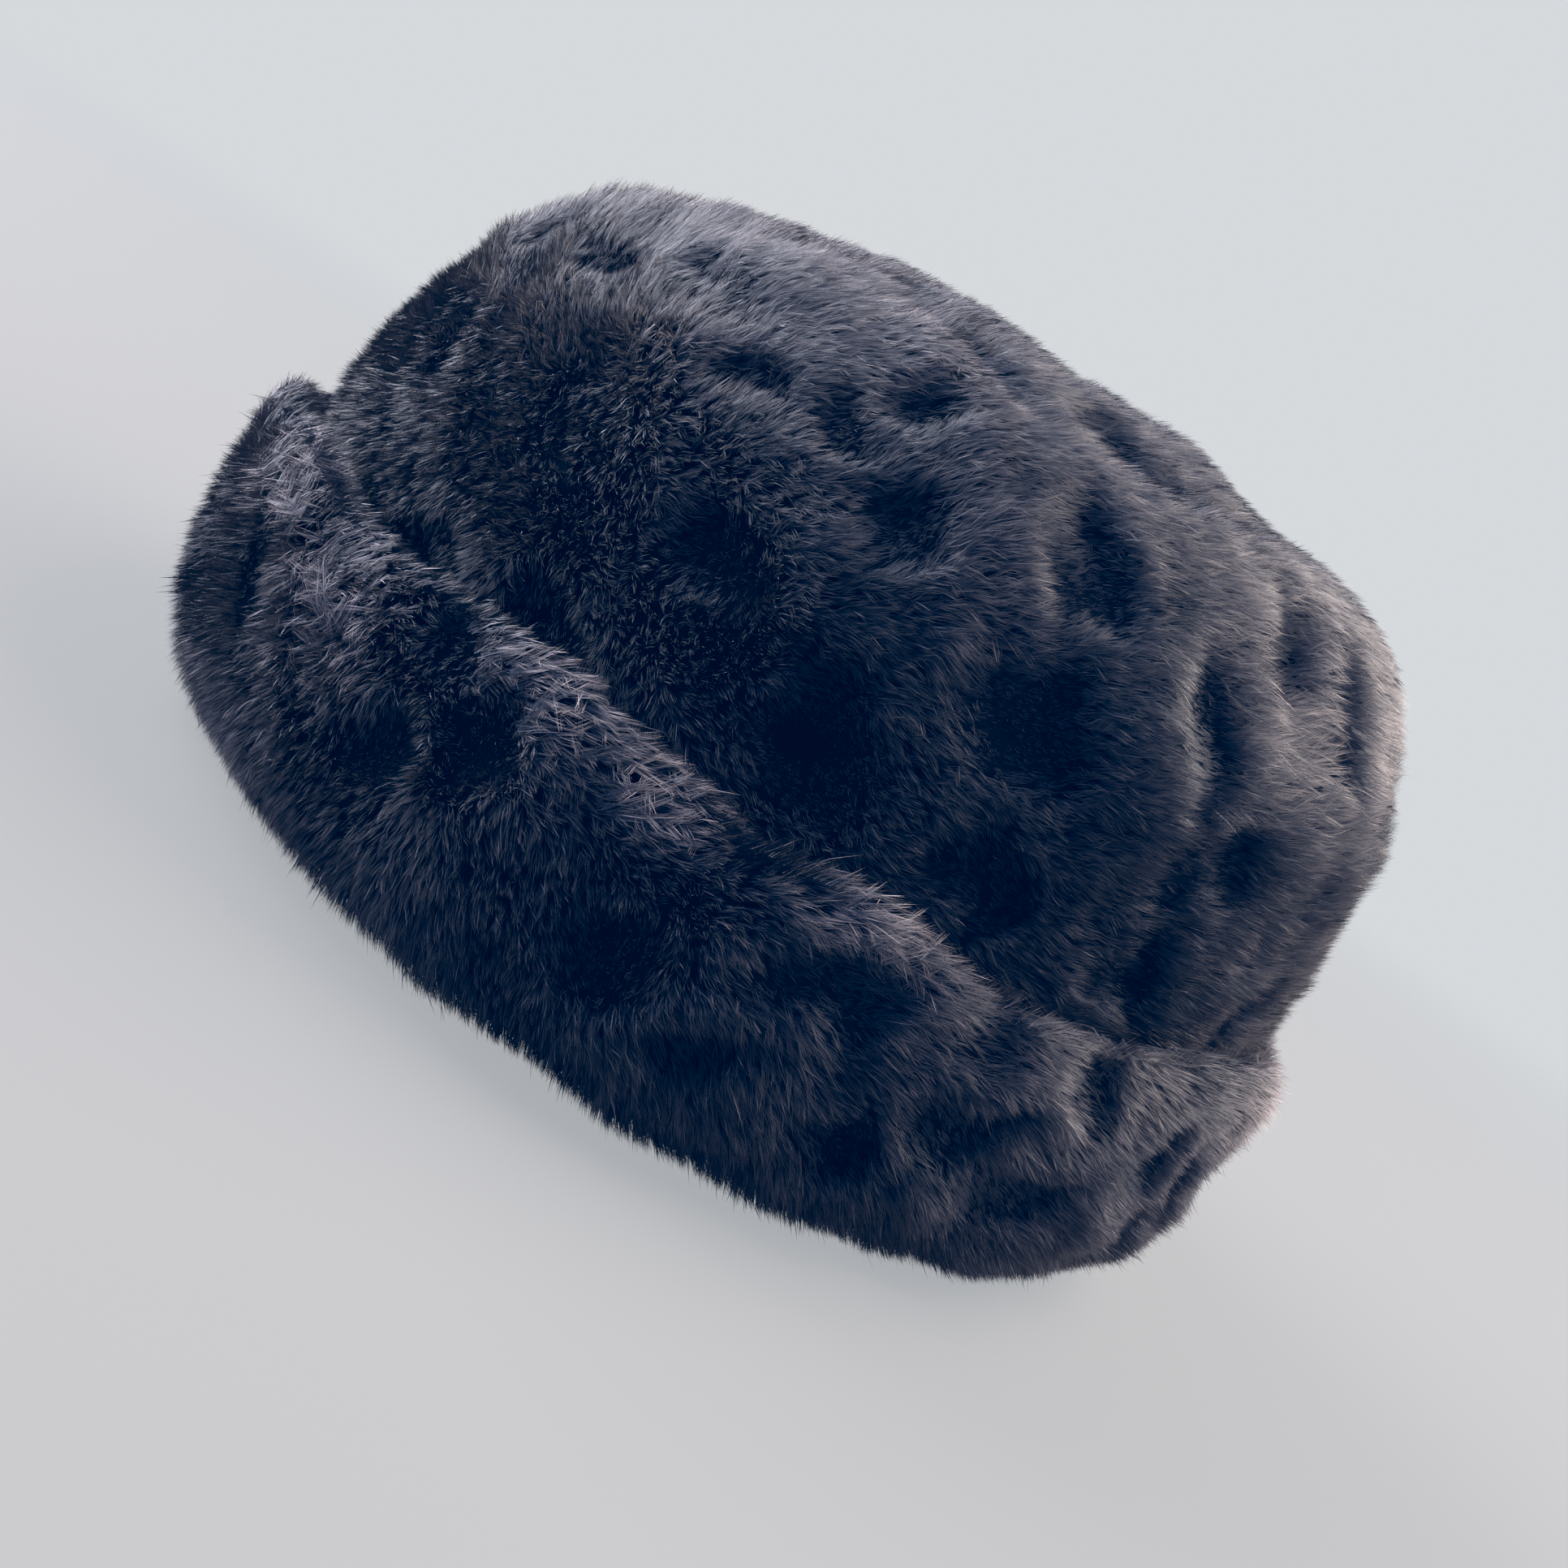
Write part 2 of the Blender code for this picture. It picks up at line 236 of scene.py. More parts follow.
def curve(table, share, column):
    """One column of a table as a smooth curve over the table's length, 0 to 1."""
    rows = np.array(table, float)
    along = np.concatenate([[0.0], np.cumsum(np.linalg.norm(np.diff(rows[:, :2], axis=0), axis=1))])
    return smooth(along / along[-1], rows[:, column], share)


# %% The two outsides
def oval(angle, half_length, half_width, back, height):
    """Points on an oval ring; angle 0 is the front."""
    a = np.radians(angle)
    return np.stack([half_width * np.sin(a), back - half_length * np.cos(a), height + 0 * a], -1)


def crown_base(angle, share):
    """The crown's outside before its hollows, share 0 at the foot and 1 at the middle."""
    height, half_length, half_width, back = (curve(CROWN_SECTIONS, share, c) for c in range(4))
    return oval(angle, half_length, half_width, back, height)


def cuff_height(angle):
    """Height of the cuff's top edge at an angle."""
    rows = np.array(CUFF_HEIGHTS, float)
    x = np.concatenate([rows[:, 0] - 360, rows[:, 0], rows[:, 0] + 360])
    return smooth(x, np.concatenate([rows[:, 1]] * 3), np.mod(angle, 360.0))


def cuff_base(angle, share):
    """The cuff's outside before its hollows, share 0 at the fold and 1 at the top edge."""
    rise, half_length, half_width = (curve(CUFF_SECTIONS, share, c) for c in range(3))
    return oval(angle, half_length, half_width, 0.0, rise / CUFF_TOP * cuff_height(angle))


def unit(v):
    """Vectors brought to a length of 1."""
    return v / np.maximum(np.linalg.norm(v, axis=-1, keepdims=True), 1e-9)


def frame_at(base, angle, share):
    """Directions round, up and out of a surface; out is straight up where it shrinks to a point."""
    e = 1e-3
    round_ = unit(base(angle + 0.1, share) - base(angle - 0.1, share))
    up = unit(base(angle, np.clip(share + e, 0, 1)) - base(angle, np.clip(share - e, 0, 1)))
    out = np.cross(round_, up)
    size = np.linalg.norm(out, axis=-1, keepdims=True)
    return round_, up, np.where(size > 0.1, out / np.maximum(size, 0.1), [0.0, 0.0, 1.0])


# %% How deep the hollows are
PIT_FALL, PIT_STEEP = 0.9, 1.6  # how a pit's depth falls off, and how steep its sides are
PIT_REACH = 30.0  # a pit fades this far from its wall, so that it misses the wall across


def hollow_depth(points, base, hollows):
    """How deep the hollows are at points of a surface."""
    depth = np.zeros(points.shape[:-1])
    for angle, share, length, width, turn, deep in hollows:
        centre = base(np.array(angle), np.array(share))
        round_, up, out = frame_at(base, np.array(angle), np.array(share))
        c, s = math.cos(math.radians(turn)), math.sin(math.radians(turn))
        d = points - centre
        a = (d @ (round_ * c + up * s)) / (length / 2)
        b = (d @ (up * c - round_ * s)) / (width / 2)
        one = deep * np.exp(-PIT_FALL * (a * a + b * b) ** PIT_STEEP - ((d @ out) / PIT_REACH) ** 4)
        depth = np.maximum(depth, one)
    return depth


print("crown is", round(float(curve(CROWN_SECTIONS, 1.0, 0))), "mm high")

# %% [markdown]
# ## Small noises
# Real pile is never even: its height, its nap and its tone drift over centimetres and millimetres.
# A noise texture could do that in a material, but here the shape of every hair needs it. So a noise
# is a sum of sine waves that run random ways. Its seeds are fixed, so each run gives the same hat.


# %% Waves
def wave(points, size, seed):
    """A smooth noise of about -1 to 1 that changes over a length."""
    rng = np.random.default_rng(seed)
    total = np.zeros(points.shape[:-1])
    for _ in range(9):
        way = rng.normal(size=3)
        way *= 2 * math.pi / (size * rng.uniform(0.8, 1.6)) / np.linalg.norm(way)
        total += np.sin(points @ way + rng.uniform(0, 2 * math.pi))
    return total / 3.0


# %% [markdown]
# ## A fine grid of the pile's surface
# Both pieces are laid out on a fine grid first: at each point the place of the tips, the height of
# the pile under them, and how deep the nearest hollow is. Tufts are then planted over the grid in
# rows an even distance apart, as close on the flat of the top as on the steep sides.


# %% The grid of a piece
PILE = 7.4  # from the backing to the tips
BACKING = 1.2  # the least that the wall keeps under the pile
RAGGED = 2.2  # how far the rims of the hollows wander
STEPS_ROUND = 720
PILE_FROM = 0.20  # share of the crown's way up where its pile begins, inside the cuff


def pile_at(base, hollows, swells, angle, share):
    """The surface before its hollows, how far the tips lie under it, and the pile's height."""
    at = base(angle, share)
    out = frame_at(base, angle, share)[2]
    ragged = RAGGED * np.stack([wave(at, 16.0, seed) for seed in (13, 14, 15)], -1)
    depth = hollow_depth(at + ragged, base, hollows)
    swell = hollow_depth(at, base, swells) if swells else 0 * depth
    lumps = 1.1 * wave(at, 32.0, 11) + 0.6 * wave(at, 14.0, 12)  # lumps of about a millimetre
    under = depth - swell + lumps
    # A hollow is pressed pile, so the height falls with it. A swell is mostly in the backing.
    height = np.minimum(PILE - 0.8 * swell + 0.15 * depth, WALL - BACKING) - under
    return at, out, depth, under, height


def pile_grid(base, hollows, swells, ruffles_and_highlights, low, high, rows):
    """Tips, outward directions, hollows and pile height of a piece in rows and columns."""
    angle, share = np.meshgrid(np.linspace(0, 360, STEPS_ROUND + 1), np.linspace(low, high, rows),
                               indexing="ij")
    at, out, depth, under, height = pile_at(base, hollows, swells, angle, share)
    tips = at - out * under[..., None]
    across, along = np.gradient(tips, axis=0), np.gradient(tips, axis=1)
    fine = np.cross(across, along)
    area = np.linalg.norm(fine, axis=-1)
    fine /= np.maximum(area[..., None], 1e-12)
    return {"tips": tips, "out": out, "fine": fine, "depth": depth, "height": height,
            "ruffled": hollow_depth(at, base, ruffles_and_highlights), "area": area, "share": share,
            "across": across, "along": along}


CROWN_PRESSED = all_round(CROWN_HOLLOWS) + TOP_HOLLOWS
CUFF_PRESSED = all_round(CUFF_HOLLOWS)
RUFFLES_KEPT = 0.55  # the repeats are less ruffled and less painted with highlight than the charted third
CUFF_RUFFLED_AND_HIGHLIT = all_round(CUFF_RUFFLES_AND_HIGHLIGHTS, RUFFLES_KEPT)
crown_grid = pile_grid(crown_base, CROWN_PRESSED, CROWN_SWELLS, all_round(CROWN_RUFFLES_AND_HIGHLIGHTS, RUFFLES_KEPT),
                       PILE_FROM, 0.999, 190)
cuff_grid = pile_grid(cuff_base, CUFF_PRESSED, None, CUFF_RUFFLED_AND_HIGHLIT, 0.0, 1.0, 90)
for name, grid in (("crown", crown_grid), ("cuff", cuff_grid)):
    print(name, "pile covers", round(grid["area"].sum() / 100), "square cm")

# %% [markdown]
# The cuff's top edge turns over and down to the crown. This lip is a narrow surface of its own, so
# that the hairs on it can stand up and fall over into the gap between the cuff and the crown.


# %% The lip of the cuff
LIP_DROP = 9.0  # how far the lip reaches down inside the cuff


def share_at_height(height):
    """How far up the crown's outside a height below its widest ring lies."""
    shares = np.linspace(0, 0.6, 241)
    return np.interp(height, curve(CROWN_SECTIONS, shares, 0), shares)


def cuff_inside(angle, height, extra):
    """Points on the cuff's inner side, which follows the crown and leaves it towards the edge."""
    share = share_at_height(height)
    on = crown_base(angle, share)
    away = unit(frame_at(crown_base, angle, share)[2] * [1, 1, 0])
    rise = (height / cuff_height(angle))[..., None]
    return on + away * (GAP + extra + (GAP_AT_EDGE - GAP) * rise ** 4)


def cuff_lip(angle, share):
    """From the top edge of the cuff, share 0, over and down its inner side, share 1."""
    top = cuff_base(angle, 1.0 + 0 * angle)
    low = cuff_inside(angle, cuff_height(angle) - LIP_DROP * share - 0.5, 0.2)
    turn = np.clip(share / 0.25, 0, 1)[..., None]
    return low * turn + top * (1 - turn)


lip_grid = pile_grid(cuff_lip, [], None, [], 0.0, 1.0, 14)
lip_grid["ruffled"] = hollow_depth(lip_grid["tips"], cuff_base, CUFF_RUFFLED_AND_HIGHLIT)
print("lip covers", round(lip_grid["area"].sum() / 100), "square cm")

# %% [markdown]
# ## The nap
# The fur lies from the front to the back. On the crown it also rises towards the back, except low
# on the sides, where it falls before the ears. On the cuff it falls a little, and steeply at the
# fold. Slow changes over a few centimetres keep it from looking combed by a machine.


# %% Which way the pile lies
def comb(points, outward, rise):
    """Directions along the surface in which the tips lean."""
    way = np.stack([0.2 * wave(points, 70.0, 21), np.ones(len(points)),
                    rise + 0.2 * wave(points, 50.0, 22)], -1)
    way = unit(way - outward * (way * outward).sum(1, keepdims=True))
    side = np.cross(outward, way)
    turn = 0.22 * wave(points, 30.0, 23) + 0.15 * wave(points, 9.0, 24)
    return way * np.cos(turn)[:, None] + side * np.sin(turn)[:, None]


# %% [markdown]
# Pile fibres stand in small tufts, with dark partings between them. So the tufts are planted first,
# evenly, and each gets its own lean, height and tone. Its fibres then start spread out in the
# underfur and come a little closer towards the tips. Most are one tapered triangle. One in nine or
# ten is a guard hair of three triangles that bends over with the nap, and half of those are longer.
# Where the pile is ruffled the tufts lean every way and some stand up.


# %% Planting tufts
JITTER = 0.45  # how far a tuft may stand from its even place, as a share of the spacing


def planted(grid, spacing, rng):
    """The grid's values at tufts in rows, about a spacing apart both ways and each moved a little."""
    step_up = np.linalg.norm(grid["along"], axis=-1).mean(0)
    up = np.concatenate([[0.0], np.cumsum(step_up[:-1])])
    found = []
    for row in np.arange(0.5 * spacing, up[-1], spacing):
        j = int(np.searchsorted(up, row)) - 1
        round_ = np.cumsum(np.linalg.norm(grid["across"][:, j], axis=-1))
        count = max(round(round_[-1] / spacing), 1)
        at = np.arange(count) + rng.uniform(-JITTER, JITTER, count)
        at = at * round_[-1] / count % round_[-1]
        i = np.searchsorted(round_, at)
        j = (row + rng.uniform(-JITTER, JITTER, count) * spacing - up[j]) / step_up[j] + j
        found.append(np.stack([i + rng.random(count) - 0.5, j], 1))
    place = np.concatenate(found)
    near = np.clip(np.round(place).astype(int), 0, np.array(grid["area"].shape) - 1)
    pick = {k: v[near[:, 0], near[:, 1]] for k, v in grid.items()}
    rest = np.clip(place - near, -0.6, 0.6)  # what rounding to the grid took away
    pick["tips"] = pick["tips"] + pick["across"] * rest[:, :1] + pick["along"] * rest[:, 1:]
    return pick


# %% The form of each tuft
STRAY = 0.36  # radians that a tuft's nap differs from its place's, more where it is ruffled
PRESSED_FROM, PRESSED_OVER = 1.0, 2.2  # depth of a hollow where the pile starts to lie pressed, and to be painted darker as shade
LEAST_PILE = 1.2  # the pile is never lower than this, however deep its hollow
UNEVEN = 0.30  # how much higher or lower a tuft's tips stand by chance
STANDING = 2.0  # the most that a ruffled tuft stands up past the rest


def growing(start, gain=0.0, low=0.0, over=1.0):
    """A value for tufts that changes with how far up the wall they stand."""
    return lambda pick: start + gain * np.clip((pick["share"] - low) / over, 0, 1)


def tufts(grid, spacing, seed, rise, lift, raised=growing(0.0)):
    """Tufts with place, directions, lean, height and tone.

    rise is how the nap runs upwards, lift how flat it lies, raised how much the tufts stand up.
    """
    rng = np.random.default_rng(seed)
    pick = planted(grid, spacing, rng)
    at, count = pick["tips"], len(pick["tips"])
    out = unit(0.4 * pick["out"] + pick["fine"] + [0, 0, 1] * raised(pick)[:, None])
    way = comb(at, out, rise(pick))
    side = np.cross(out, way)
    ruffled = np.clip(pick["ruffled"] * (1 + 0.3 * wave(at, 12.0, 26)), 0, 1.5)
    stray = rng.normal(0, STRAY, count) * (1 + 1.2 * ruffled ** 2)
    ruffled = np.minimum(ruffled, 1)
    way = way * np.cos(stray)[:, None] + side * np.sin(stray)[:, None]
    depth = pick["depth"] + rng.normal(0, 0.3, count)
    pressed = np.clip((depth - PRESSED_FROM) / PRESSED_OVER, 0, 1)
    pressed = pressed * pressed * (3 - 2 * pressed)
    height = np.maximum(pick["height"], LEAST_PILE)
    lean = lift(pick) * (1 + 0.3 * wave(at, 40.0, 25)) * rng.uniform(0.75, 1.25, count)
    lean = lean * (1 + 0.6 * ruffled)
    rough = rng.normal(0, UNEVEN, count) * (1 - 0.8 * pressed)
    rough = rough + STANDING * ruffled * rng.random(count) ** 2
    return {"at": at, "out": out, "way": way, "side": np.cross(out, way), "pressed": pressed,
            "height": height, "lean": np.maximum(lean, 0.15), "rough": rough,
            "tone": rng.random(count), "patch": (1 + 0.55 * wave(at, 8.0, 27)).clip(0.2, 2.0),
            "share": pick["share"], "ruffled": ruffled}


# %% [markdown]
# A fibre starts part of the way down the pile and leans with its tuft. One that leans far starts
# less deep, so that it isn't much longer than the others. Its tone is set by chance, by its tuft and
# by the patch that it stands in, so the fur is speckled finely and clouded slowly. Where the pile is
# ruffled the tone is raised, which is partly a painted highlight.


# %% Fibres of the tufts
FIBRE_LENGTH = 5.8  # before chance makes it longer or shorter
FIBRE_WIDTH = 0.22  # a real fibre is about 0.03 mm thick, so each stands for a small bundle
ROOT_AT = 0.62  # how far down the pile a fibre starts, as a share of its height
SPREAD = 0.50  # how far the roots of a tuft's fibres stand from its middle
GATHER, GUARD_GATHER = 0.32, 0.2  # how much of that the tips give up
SCATTER = 0.34  # how far the tips stand from where they would meet
LONG_GUARDS = 0.12  # share of the guard hairs that are the longest, and share that are paler
FLOOR = 0.35  # no hair goes lower than this over the floor


def fibres(tuft, each, seed, guard):
    """Root, knee and tip of the fibres of tufts, with what their colour depends on.

    guard is how much longer the longest guard hairs are, or 0 for plain fibres.
    """
    rng = np.random.default_rng(seed)
    t = {k: np.repeat(v, each, axis=0) for k, v in tuft.items()}
    n = len(t["at"])
    across, along = rng.normal(0, SPREAD, (2, n, 1))
    spread = t["side"] * across + t["way"] * along
    plush = (1 - 0.55 * t["pressed"])[:, None]
    reach = rng.normal(1.0, 0.10, n).clip(0.7, 1.3)
    if guard:
        reach = reach * rng.choice([1.0, 1.1, guard], n, p=[0.50, 0.38, LONG_GUARDS])
    deep = np.minimum(ROOT_AT * t["height"], FIBRE_LENGTH / np.sqrt(1 + t["lean"] ** 2))
    up = deep * reach * (1 + 0.4 * t["ruffled"])
    lean = (up * t["lean"] * rng.uniform(0.8, 1.2, n))[:, None]
    foot = t["at"] - t["out"] * deep[:, None] + spread - t["way"] * lean * 0.6
    top = foot + t["out"] * (up + t["rough"])[:, None] + t["way"] * lean
    top -= spread * (GUARD_GATHER if guard else GATHER) * plush
    top += t["side"] * rng.normal(0, SCATTER, (n, 1)) + t["way"] * rng.normal(0, SCATTER, (n, 1))
    knee = 0.45 * (foot + top) + 0.10 * (foot + t["out"] * up[:, None])
    for p in (foot, knee, top):
        p[:, 2] = np.maximum(p[:, 2], FLOOR + 0.2 * rng.random(n))
    tone = 0.25 * t["patch"] * (0.35 * t["tone"] + 0.65 * rng.random(n)) ** 1.6
    # Ruffled places get paler tips: partly the ruffle, partly a painted highlight where light catches the
    # cuff's ridge and front and the crown's back.
    tone = tone + 0.9 * t["ruffled"] * rng.random(n) ** 1.8
    if guard:
        tone = tone + 0.3 * (rng.random(n) < LONG_GUARDS)
    wide = FIBRE_WIDTH * rng.uniform(0.7, 1.3, n)
    return {"foot": foot, "knee": knee, "top": top, "out": t["out"], "tone": np.clip(tone, 0, 1),
            "pressed": t["pressed"], "width": wide, "spin": rng.uniform(-0.9, 0.9, n)}


def joined(*batches):
    """Several batches of tufts or strips as one."""
    return {k: np.concatenate([b[k] for b in batches]) for k in batches[0]}


# %% [markdown]
# With its own shading normals a thin strip would flash like foil. Real pile scatters light as one
# soft surface, so every fibre's normals are turned a little over halfway towards the outward
# direction. A strip seen from its edge vanishes, so each is turned about its length by chance, and on
# a slanting wall towards the side, from where a hat is mostly seen. What a hair's colour depends on
# is kept in an attribute: how far along it a point is, its tone, and how far it is pressed, which
# paints it darker as shade. A flat map holds the same three, so that hairs of one colour share one
# spot of a baked picture.


# %% Fibres to a mesh
SOFTEN = 0.55
SIDE_TURN = 1.3  # radians; strips turn by up to half of this where the wall slants
MAP_ROWS = 8  # rows of the flat map, one for each step of how pressed a hair is
MAP_EDGE, ROW_EDGE = 0.02, 0.04  # margins of the map and of a row in it
MAP_WIDTH = 0.006  # half the width of a hair on the map
KNEE = 0.85  # how wide a guard hair still is at its knee


def strips(batch, guard):
    """Points, colours, normals and faces of one kind of fibre."""
    foot, knee, top = batch["foot"], batch["knee"], batch["top"]
    way = unit(top - foot)
    side = unit(np.cross(way, batch["out"]))
    sideways = (side * batch["out"] * [1, 1, 0]).sum(1)
    spin = (batch["spin"] + SIDE_TURN * sideways)[:, None]
    side = side * np.cos(spin) + np.cross(way, side) * np.sin(spin)
    face = np.cross(side, way)
    turned = np.where((face * batch["out"]).sum(1, keepdims=True) < 0, -1.0, 1.0)
    side, face = side * turned, face * turned
    half = side * (batch["width"] / 2)[:, None]
    if guard:
        points = np.stack([foot - half, foot + half, knee + KNEE * half, knee - KNEE * half, top], 1)
        along, shift = [0.0, 0.0, 0.55, 0.55, 1.0], [-1.0, 1.0, KNEE, -KNEE, 0.0]
        corners, sizes = [0, 1, 2, 3, 3, 2, 4], [4, 3]
    else:
        points = np.stack([foot - half, foot + half, top], 1)
        along, shift = [0.0, 0.0, 1.0], [-1.0, 1.0, 0.0]
        corners, sizes = [0, 1, 2], [3]
    count, each = points.shape[:2]
    soft = unit(batch["out"] * SOFTEN + face * (1 - SOFTEN))
    colours = np.stack([np.tile(along, count), np.repeat(batch["tone"], each),
                        np.repeat(batch["pressed"], each), np.ones(count * each)], -1)
    row = np.minimum(np.floor(colours[:, 2] * MAP_ROWS), MAP_ROWS - 1)
    flat = np.stack([MAP_EDGE + (1 - 2 * MAP_EDGE) * colours[:, 1] + MAP_WIDTH * np.tile(shift, count),
                     (row + ROW_EDGE + (1 - 2 * ROW_EDGE) * colours[:, 0]) / MAP_ROWS], -1)
    return {"points": points.reshape(-1, 3), "colours": colours, "normals": np.repeat(soft, each, axis=0),
            "flat": flat, "corners": (np.arange(count)[:, None] * each + corners).ravel(),
            "sizes": np.tile(sizes, count)}


# %% A mesh object from strips
def fill(elements, key, values, kind=np.float32):
    """Writes an array into the elements of a mesh."""
    elements.foreach_set(key, np.asarray(values, kind).ravel())


def pile(name, under, guards, material):
    """A mesh object of many fibres."""
    kinds = [strips(under, False), strips(guards, True)]
    kinds[1]["corners"] = kinds[1]["corners"] + len(kinds[0]["points"])
    all_of = joined(*kinds)
    mesh = bpy.data.meshes.new(name)
    mesh.vertices.add(len(all_of["points"]))
    fill(mesh.vertices, "co", all_of["points"] * MM)
    mesh.loops.add(len(all_of["corners"]))
    fill(mesh.loops, "vertex_index", all_of["corners"], np.int32)
    mesh.polygons.add(len(all_of["sizes"]))
    starts = np.concatenate([[0], np.cumsum(all_of["sizes"])[:-1]])
    fill(mesh.polygons, "loop_start", starts, np.int32)
    mesh.update(calc_edges=True)
    fill(mesh.polygons, "use_smooth", np.ones(len(starts)), bool)
    fill(mesh.attributes.new("hair", "FLOAT_COLOR", "POINT").data, "color", all_of["colours"])
    fill(mesh.attributes.new("custom_normal", "FLOAT_VECTOR", "POINT").data, "vector", all_of["normals"])
    fill(mesh.uv_layers.new(name="OFBake").data, "uv", all_of["flat"][all_of["corners"]])
    mesh.materials.append(material)
    made = bpy.data.objects.new(name, mesh)
    bpy.context.scene.collection.objects.link(made)
    print(name, len(under["foot"]), "fibres", len(guards["foot"]), "guard hairs",
          int((all_of["sizes"] - 2).sum()), "triangles")
    return made


# %% [markdown]
# ## Materials
# The pile is modacrylic: fine round fibres that are dark grey at the tip. Towards the root they are
# painted blue-black, a painted shade for where they are packed and shaded. Some hairs, and most where
# the pile is ruffled, have pale tips; in the ruffled places that is partly a painted highlight. The
# pressed hollows are painted nearly as dark as the roots, a painted shade. The fibres shine softly
# and scatter light at a grazing angle, which the sheen stands for.


# %% Colour and node helpers
def linear(hex_colour):
    """An sRGB hex colour as linear red, green, blue and alpha."""
    made = []
    for i in (1, 3, 5):
        c = int(hex_colour[i:i + 2], 16) / 255
        made.append(c / 12.92 if c <= 0.04045 else ((c + 0.055) / 1.055) ** 2.4)
    return (*made, 1.0)


def link(output, target):
    """Joins two sockets of one node tree."""
    output.id_data.links.new(output, target)


def add_node(material, kind, settings=None, inputs=None):
    """A node with its settings, and its inputs set to values or linked from sockets."""
    made = material.node_tree.nodes.new(kind)
    for key, value in (settings or {}).items():
        setattr(made, key, value)
    for key, value in (inputs or {}).items():
        if isinstance(value, bpy.types.NodeSocket):
            link(value, made.inputs[key])
        else:
            made.inputs[key].default_value = value
    return made


def new_material(name, roughness, specular):
    """A material with its surface shader."""
    material = bpy.data.materials.new(name)
    material.use_nodes = True
    shader = material.node_tree.nodes["Principled BSDF"]
    shader.inputs["Roughness"].default_value = roughness
    shader.inputs["Specular IOR Level"].default_value = specular
    shader.inputs["IOR"].default_value = 1.5
    return material, shader


# %% Pile fibres
SHEEN = 0.42
ROOT_SHADE_UP_TO = 0.25  # share of a hair's length in the root's dark colour, painted shade for the depth of the pile
HOLLOW_SHADE = 0.88  # how far pressed pile is painted towards the dark hollow colour, a painted shade


def pile_material(name, root, tip, pale_tip_and_highlight, hollow_shade):
    """Modacrylic pile, coloured by where on the hair, which hair and how pressed it is.

    The dark root and the dark pressed hollows are painted shade.
    """
    material, shader = new_material(name, 0.6, 0.3)
    hair = add_node(material, "ShaderNodeAttribute", {"attribute_name": "hair"})
    parts = add_node(material, "ShaderNodeSeparateColor", inputs={"Color": hair.outputs["Color"]})
    tone = add_node(material, "ShaderNodeMix", {"data_type": "RGBA"},
                    {"Factor": parts.outputs["Green"], 6: linear(tip), 7: linear(pale_tip_and_highlight)})
    along = add_node(material, "ShaderNodeMapRange", {"interpolation_type": "SMOOTHSTEP"},
                     {"Value": parts.outputs["Red"], "From Min": ROOT_SHADE_UP_TO, "From Max": 1.0})
    body = add_node(material, "ShaderNodeMix", {"data_type": "RGBA"},
                    {"Factor": along.outputs["Result"], 6: linear(root), 7: tone.outputs[2]})
    # Pressed pile is painted towards the hollow colour: painted shade in the hollows.
    pressed = add_node(material, "ShaderNodeMath", {"operation": "MULTIPLY"},
                       {0: parts.outputs["Blue"], 1: HOLLOW_SHADE})
    final = add_node(material, "ShaderNodeMix", {"data_type": "RGBA"},
                     {"Factor": pressed.outputs["Value"], 6: body.outputs[2], 7: linear(hollow_shade)})
    link(final.outputs[2], shader.inputs["Base Color"])
    shader.inputs["Sheen Weight"].default_value = SHEEN
    shader.inputs["Sheen Roughness"].default_value = 0.35
    shader.inputs["Sheen Tint"].default_value = linear("#c0bbbc")
    return material


# The root and hollow colours are painted shade, blue-black for the depth of the pile and its hollows; the
# pale tips are partly a painted highlight.
crown_pile = pile_material("modacrylic_pile_crown", "#041228", "#21252b", "#b5a9a5", "#041024")
cuff_pile = pile_material("modacrylic_pile_cuff", "#041228", "#1d2027", "#b8adb0", "#041024")

# %% [markdown]
# Under the hairs lies dense short underfur on a knitted cloth. Only its darkness shows between the
# hairs, so it is one very rough material with a fine grain, painted nearly black and blue: partly its
# own dark colour, partly painted shade for the shade between the hairs. The cloth is plain knitted
# polyester. Its rows and columns of loops give the eye a matt ribbed face, drawn from two sine waves
# as bump and as a change of tone, darker in the grooves as painted shade.

# %% Underfur
GRAIN = 0.9  # size of the clumps that the underfur's ends make
underfur, shader = new_material("underfur", 1.0, 0.05)
place = add_node(underfur, "ShaderNodeTexCoord")
grain = add_node(underfur, "ShaderNodeTexNoise", inputs={
    "Vector": place.outputs["Object"], "Scale": 1 / (GRAIN * MM), "Detail": 3.0})
# Nearly black and blue: partly the underfur's own dark colour, partly painted shade between the hairs.
colour = add_node(underfur, "ShaderNodeMix", {"data_type": "RGBA"}, {
    "Factor": grain.outputs["Fac"], 6: linear("#02040a"), 7: linear("#060b16")})
link(colour.outputs[2], shader.inputs["Base Color"])

# %% Knitted cloth
WALE = 1.8  # between the columns of loops, drawn coarser than the real 1 mm so that it shows
COURSE = 1.4  # between their rows, just as coarse
COLUMNS_SHOW = 0.7  # how high the columns stand compared with the rows
knit, shader = new_material("knitted_polyester_backing", 0.9, 0.2)
place = add_node(knit, "ShaderNodeUVMap", {"uv_map": "millimetres"})
parts = add_node(knit, "ShaderNodeSeparateXYZ", inputs={"Vector": place.outputs["UV"]})
heights = []
for axis, step in (("X", WALE), ("Y", COURSE)):
    phase = add_node(knit, "ShaderNodeMath", {"operation": "MULTIPLY"},
                     {0: parts.outputs[axis], 1: 2 * math.pi / step})
    heights.append(add_node(knit, "ShaderNodeMath", {"operation": "SINE"}, {0: phase.outputs["Value"]}))
loops = add_node(knit, "ShaderNodeMath", {"operation": "MULTIPLY_ADD"}, {
    0: heights[0].outputs["Value"], 1: COLUMNS_SHOW, 2: heights[1].outputs["Value"]})
